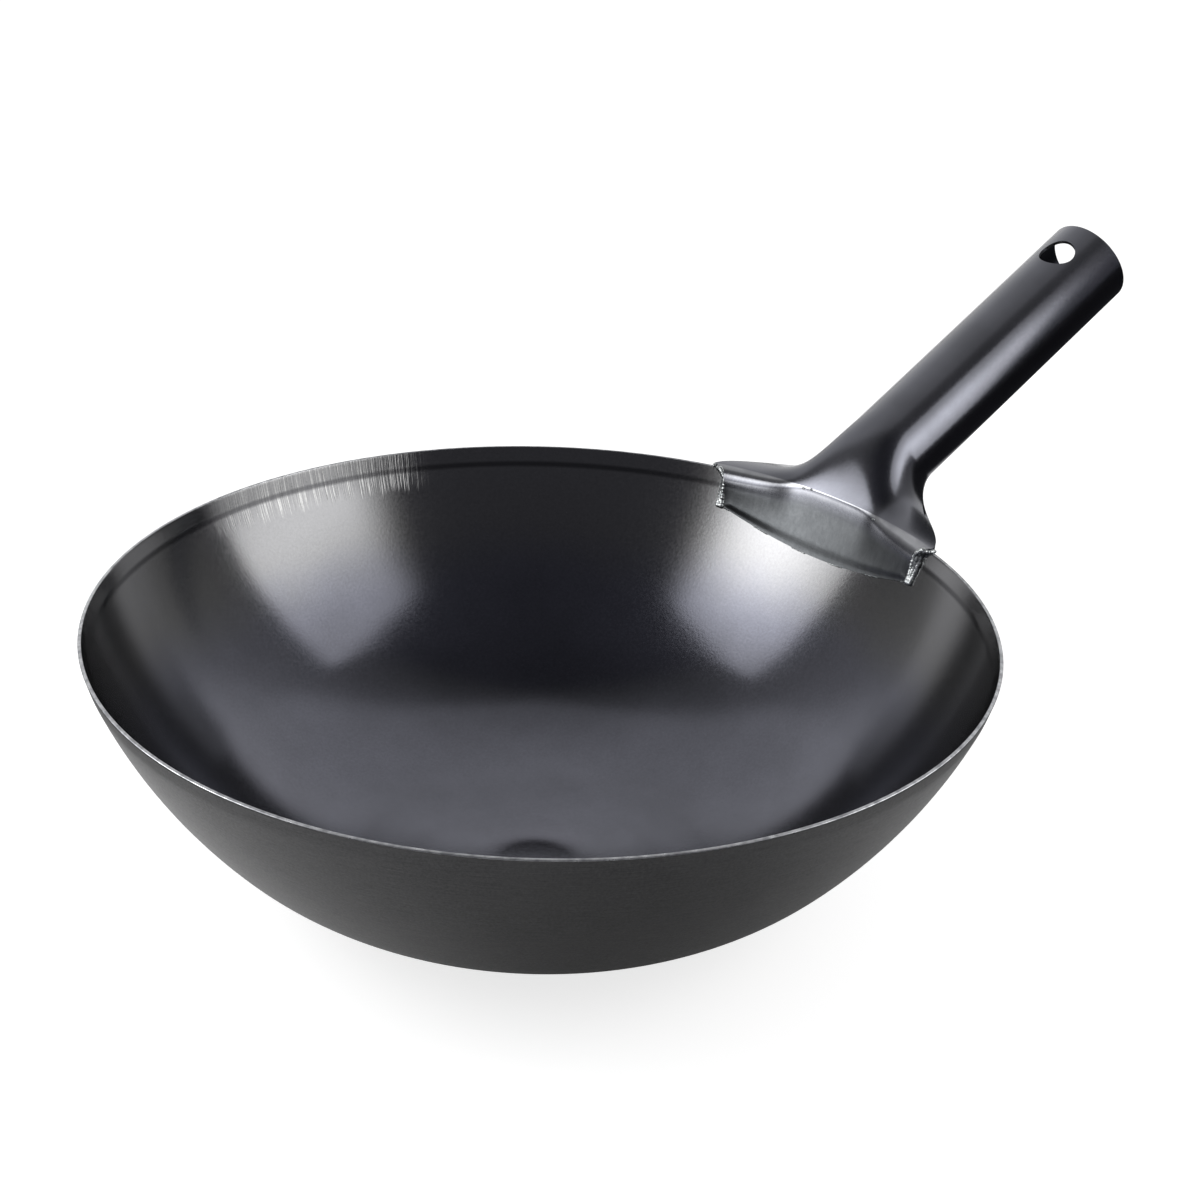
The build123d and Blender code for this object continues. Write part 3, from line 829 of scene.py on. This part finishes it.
# Two softboxes stand right (1) and left (-1) of the camera, lengths in millimetres. Each is
# brightest in front of its lamp, and dimmer on the side that is nearer to the camera.
softbox = {
    "angle": radians(78.5), "turn": radians(66.15), "distance": 376, "height": 330,
    "width": 391, "tall": 460, "edge": 1.4, "core": {1: 2.3, -1: 5.6}, "coreDrop": 0.27,
    "coreWide": {1: 2.5, -1: 0.75}, "coreTall": {1: 0.5, -1: 0.75},
    "fadeFrom": -1.0, "fadeTo": -0.4, "dimmest": 0.1,
}


def softboxCloth(side):
    material, tree = newMaterial("softbox cloth")
    uv = addNode(tree, "ShaderNodeTexCoord").outputs["UV"]
    centred = addNode(tree, "ShaderNodeMapping", {
        "Vector": uv, "Location": (0, softbox["coreDrop"] / softbox["coreTall"][side], 0),
        "Scale": (1 / softbox["coreWide"][side], 1 / softbox["coreTall"][side], 0)})
    away = addNode(tree, "ShaderNodeVectorMath", {0: centred, 1: centred},
                   operation="DOT_PRODUCT").outputs["Value"]
    fade = addNode(tree, "ShaderNodeMath", {0: away, 1: -1.0}, operation="MULTIPLY")
    lamp = addNode(tree, "ShaderNodeMath", {0: fade}, operation="EXPONENT")
    strength = addNode(tree, "ShaderNodeMath", {
        0: lamp, 1: softbox["core"][side], 2: softbox["edge"]}, operation="MULTIPLY_ADD")
    along = addNode(tree, "ShaderNodeVectorMath", {0: uv, 1: (side, 0, 0)},
                    operation="DOT_PRODUCT").outputs["Value"]
    dimmer = addNode(tree, "ShaderNodeMapRange", {
        "Value": along, "From Min": softbox["fadeFrom"], "From Max": softbox["fadeTo"],
        "To Min": softbox["dimmest"]}, interpolation_type="SMOOTHSTEP")
    strength = addNode(tree, "ShaderNodeMath", {0: strength, 1: dimmer}, operation="MULTIPLY")
    glow = addNode(tree, "ShaderNodeEmission", {"Strength": strength})
    back = addNode(tree, "ShaderNodeNewGeometry").outputs["Backfacing"]
    nothing = addNode(tree, "ShaderNodeBsdfTransparent")
    shown = addNode(tree, "ShaderNodeMixShader", {0: back, 1: glow, 2: nothing})
    addNode(tree, "ShaderNodeOutputMaterial", {"Surface": shown})
    return material


def makeSoftbox(side):
    turn = view["angle"] + side * softbox["angle"]
    facing = view["angle"] + side * softbox["turn"]
    place = np.array([softbox["distance"] * cos(turn), softbox["distance"] * sin(turn),
                      softbox["height"]]) * mm
    flank = np.array([-sin(facing), cos(facing), 0]) * softbox["width"] * mm / 2
    rise = np.array([0, 0, softbox["tall"] * mm / 2])
    corners = ((-1, -1), (-1, 1), (1, 1), (1, -1))
    mesh = bpy.data.meshes.new("softbox")
    mesh.from_pydata([tuple(place + a * flank + b * rise) for a, b in corners], [],
                     [(0, 1, 2, 3)])
    mesh.uv_layers.new(name="panel")
    for loop, uv in zip(mesh.uv_layers[0].data, corners):
        loop.uv = uv
    mesh.materials.append(softboxCloth(side))
    panel = bpy.data.objects.new("softbox", mesh)
    bpy.context.scene.collection.objects.link(panel)
    panel.visible_camera = False
    panel.visible_shadow = False


# Pale paper on the floor, lengths in millimetres, which fades to a dark room either side of
# the view. Metal mirrors it dimmer near the wok, where it carries a painted shade in an oval centred
# a little right of it.
paper = {
    "reach": 4000, "below": 0.2, "colour": "#bcbcbc", "dark": "#303034", "half": 170,
    "fade": 60, "glow": 0.75, "shade": 0.06, "shadeFrom": 60, "shadeTo": 420,
    "shadeAside": 40, "shadeNarrow": 0.5,
}


def whitePaper():
    material, tree = newMaterial("matt white paper")
    place = addNode(tree, "ShaderNodeTexCoord").outputs["Object"]
    aside = addNode(tree, "ShaderNodeVectorMath", {0: place, 1: toTheRight},
                    operation="DOT_PRODUCT").outputs["Value"]
    aside = addNode(tree, "ShaderNodeMath", {0: aside}, operation="ABSOLUTE")
    onPaper = addNode(tree, "ShaderNodeMapRange", {
        "Value": aside, "From Min": paper["half"] * mm,
        "From Max": (paper["half"] + paper["fade"]) * mm, "To Min": 1.0, "To Max": 0.0})
    shaded = addNode(tree, "ShaderNodeMapping", {
        "Vector": place, "Rotation": (0, 0, view["angle"] + pi / 2),
        "Location": [paper["shadeAside"] * mm * way for way in toTheRight],
        "Scale": (paper["shadeNarrow"], 1, 1)}, vector_type="TEXTURE")
    away = addNode(tree, "ShaderNodeVectorMath", {0: shaded}, operation="LENGTH").outputs["Value"]
    # clear is 1 away from the wok and drops to the painted shade near it, only in what metal mirrors
    clear = addNode(tree, "ShaderNodeMapRange", {
        "Value": away, "From Min": paper["shadeFrom"] * mm, "From Max": paper["shadeTo"] * mm,
        "To Min": paper["shade"]}, interpolation_type="SMOOTHSTEP")
    path = addNode(tree, "ShaderNodeLightPath").outputs
    mirrored = addNode(tree, "ShaderNodeMath", {
        0: path["Is Glossy Ray"], 1: path["Is Transmission Ray"]}, operation="MAXIMUM")
    mirrored = addNode(tree, "ShaderNodeMath", {0: mirrored, 1: onPaper}, operation="MULTIPLY")
    mirrored = addNode(tree, "ShaderNodeMath", {0: mirrored, 1: clear}, operation="MULTIPLY")
    seen = addNode(tree, "ShaderNodeMath", {0: mirrored, 1: path["Is Camera Ray"]},
                   operation="MAXIMUM")
    lit = addNode(tree, "ShaderNodeMath", {0: onPaper, 1: path["Is Camera Ray"]},
                  operation="MAXIMUM")
    tint = addNode(tree, "ShaderNodeMix", {
        0: lit, 6: hexColour(paper["dark"]), 7: hexColour(paper["colour"])}, data_type="RGBA")
    matt = addNode(tree, "ShaderNodeBsdfDiffuse", {"Color": tint})
    strength = addNode(tree, "ShaderNodeMath", {0: seen, 1: paper["glow"]}, operation="MULTIPLY")
    glow = addNode(tree, "ShaderNodeEmission", {"Strength": strength})
    shown = addNode(tree, "ShaderNodeAddShader", {0: matt, 1: glow})
    addNode(tree, "ShaderNodeOutputMaterial", {"Surface": shown})
    return material


def makeFloor():
    reach = paper["reach"] * mm
    mesh = bpy.data.meshes.new("floor")
    mesh.from_pydata([(-reach, -reach, 0), (reach, -reach, 0), (reach, reach, 0),
                      (-reach, reach, 0)], [], [(0, 1, 2, 3)])
    mesh.materials.append(whitePaper())
    floor = bpy.data.objects.new("floor", mesh)
    bpy.context.scene.collection.objects.link(floor)
    floor.location.z = -paper["below"] * mm


# Room: a white backdrop behind the wok, narrower low down, dark towards the camera, and
# white to the camera itself. The first stops run from the camera's side (-1) to behind the
# wok (1), and the second from straight down (-1) to straight up (1).
room = {
    "soften": 0.15, "narrowFrom": 0.15, "narrowTo": 0.7, "narrow": 0.34,
    "soft": (0.6, 0.6, 0.6, 1), "white": (1, 1, 1, 1),
    "towardsBack": ((-1, "#616167"), (-0.3, "#6b6b72"), (-0.1, "#898989"), (0.1, "#a7a7a7"),
                    (0.2, "#b8b8b8"), (0.3, "#e9e9e9"), (0.38, "#fbfbfb"), (0.5, "#ffffff")),
    "upwards": ((-1, "#616161"), (-0.04, "#6c6c6c"), (0.03, "#ffffff"), (0.4, "#ffffff"),
                (0.56, "#f3f3f3"), (0.69, "#e1e1e1"), (0.83, "#d7d7d7"), (0.93, "#c6c6c6"),
                (1, "#aaaaaa")),
}


def greyStops(tree, value, stops):    # greys along a value that runs from -1 to 1
    share = addNode(tree, "ShaderNodeMath", {0: value, 1: 0.5, 2: 0.5}, operation="MULTIPLY_ADD")
    ramp = addNode(tree, "ShaderNodeValToRGB", {"Fac": share})
    while len(ramp.color_ramp.elements) < len(stops):
        ramp.color_ramp.elements.new(0.5)
    for element, (at, grey) in zip(ramp.color_ramp.elements, stops):
        element.position = (at + 1) / 2
        element.color = hexColour(grey)
    return ramp.outputs["Color"]


def makeRoom():
    world = bpy.data.worlds.new("studio")
    bpy.context.scene.world = world
    world.use_nodes = True
    tree = world.node_tree
    tree.nodes.clear()
    direction = addNode(tree, "ShaderNodeTexCoord").outputs["Generated"]
    x, y, z = addNode(tree, "ShaderNodeSeparateXYZ", {0: direction}).outputs
    behind = addNode(tree, "ShaderNodeVectorMath", {
        0: direction, 1: (-cos(view["angle"]), -sin(view["angle"]), 0)},
        operation="DOT_PRODUCT").outputs["Value"]
    level = addNode(tree, "ShaderNodeCombineXYZ", {0: x, 1: y})
    flatLength = addNode(tree, "ShaderNodeVectorMath", {0: level},
                         operation="LENGTH").outputs["Value"]
    softened = addNode(tree, "ShaderNodeMath", {0: flatLength, 1: room["soften"]},
                       operation="ADD")
    turned = addNode(tree, "ShaderNodeMath", {0: behind, 1: softened}, operation="DIVIDE")
    narrowed = addNode(tree, "ShaderNodeMapRange", {
        "Value": z, "From Min": room["narrowFrom"], "From Max": room["narrowTo"],
        "To Min": -room["narrow"], "To Max": 0.0})
    turned = addNode(tree, "ShaderNodeMath", {0: turned, 1: narrowed}, operation="ADD")
    lit = addNode(tree, "ShaderNodeMix", {
        0: 1.0, 6: greyStops(tree, turned, room["towardsBack"]),
        7: greyStops(tree, z, room["upwards"])}, data_type="RGBA", blend_type="MULTIPLY")
    path = addNode(tree, "ShaderNodeLightPath").outputs
    soft = addNode(tree, "ShaderNodeMix", {0: path["Is Diffuse Ray"], 6: lit, 7: room["soft"]},
                   data_type="RGBA")
    shown = addNode(tree, "ShaderNodeMix", {0: path["Is Camera Ray"], 6: soft, 7: room["white"]},
                    data_type="RGBA")
    light = addNode(tree, "ShaderNodeBackground", {"Color": shown})
    addNode(tree, "ShaderNodeOutputWorld", {"Surface": light})


for side in (1, -1):
    makeSoftbox(side)
makeFloor()
makeRoom()
print("studio made")

bpy.context.scene.view_settings.view_transform = "Standard"
bpy.context.view_layer.update()
